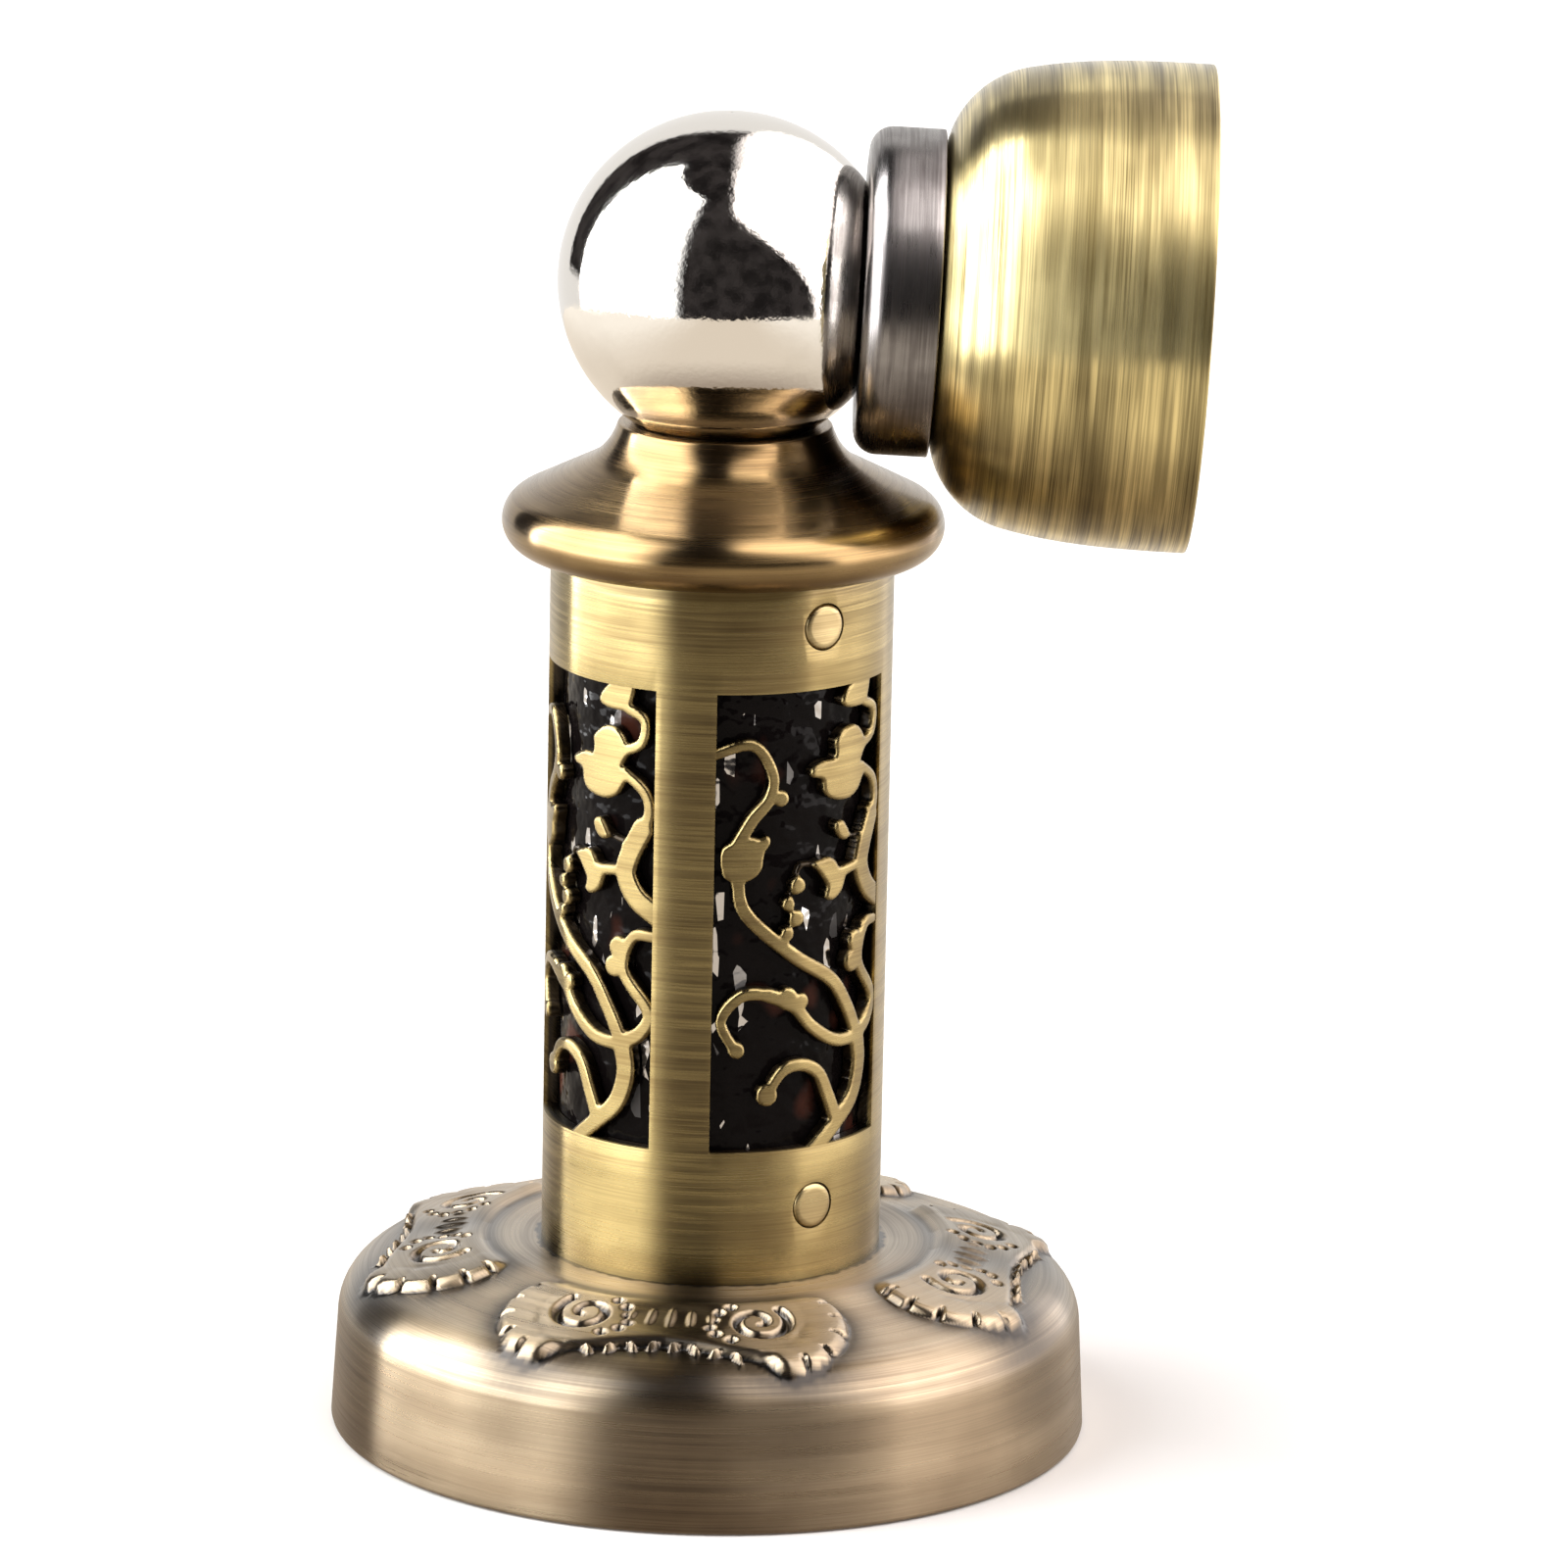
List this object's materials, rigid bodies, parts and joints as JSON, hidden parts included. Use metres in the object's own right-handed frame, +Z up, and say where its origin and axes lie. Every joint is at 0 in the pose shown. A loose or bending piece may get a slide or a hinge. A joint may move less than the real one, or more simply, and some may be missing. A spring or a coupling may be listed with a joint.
{
  "type": "magnetic door stop",
  "caption": "Antique brass magnetic door stop: round floor base, pierced vine column and steel ball, held by a door catch with a dished magnet in a round cup.",
  "frame": {"origin": "middle of the base's underside, where the post stands on the floor", "axes": "+Z up along the post, +X from the post towards the door catch"},
  "size_m": [0.0561, 0.05, 0.0917],
  "materials": {
    "antique_brass": "brushed and darkened in the recesses",
    "black_lacquer": "gloss",
    "polished_nickel": "polished",
    "magnet_plating": "satin gun metal",
    "zinc_steel": "zinc plated"
  },
  "bodies": {
    "post": {"base_flange": "antique_brass", "floor_plate": "zinc_steel", "column_sleeve": "antique_brass", "column_core": "black_lacquer", "sleeve_rivets": "antique_brass", "collar": "antique_brass", "ball": "polished_nickel", "tie_stud": "zinc_steel", "tie_washer": "zinc_steel", "tie_nut": "zinc_steel"},
    "catch": {"catch_cup": "antique_brass", "magnet": "magnet_plating", "magnet_screw": "zinc_steel", "catch_washer": "zinc_steel", "catch_nut": "zinc_steel", "door_plate": "zinc_steel"}
  },
  "joints": [
    {"name": "catch_pull", "type": "slide", "parent": "post", "child": "catch", "axis": [0.9991, 0, -0.0419], "range_m": [0, 0.04], "stiffness_N_per_m": 10, "springref_m": -0.3}
  ]
}
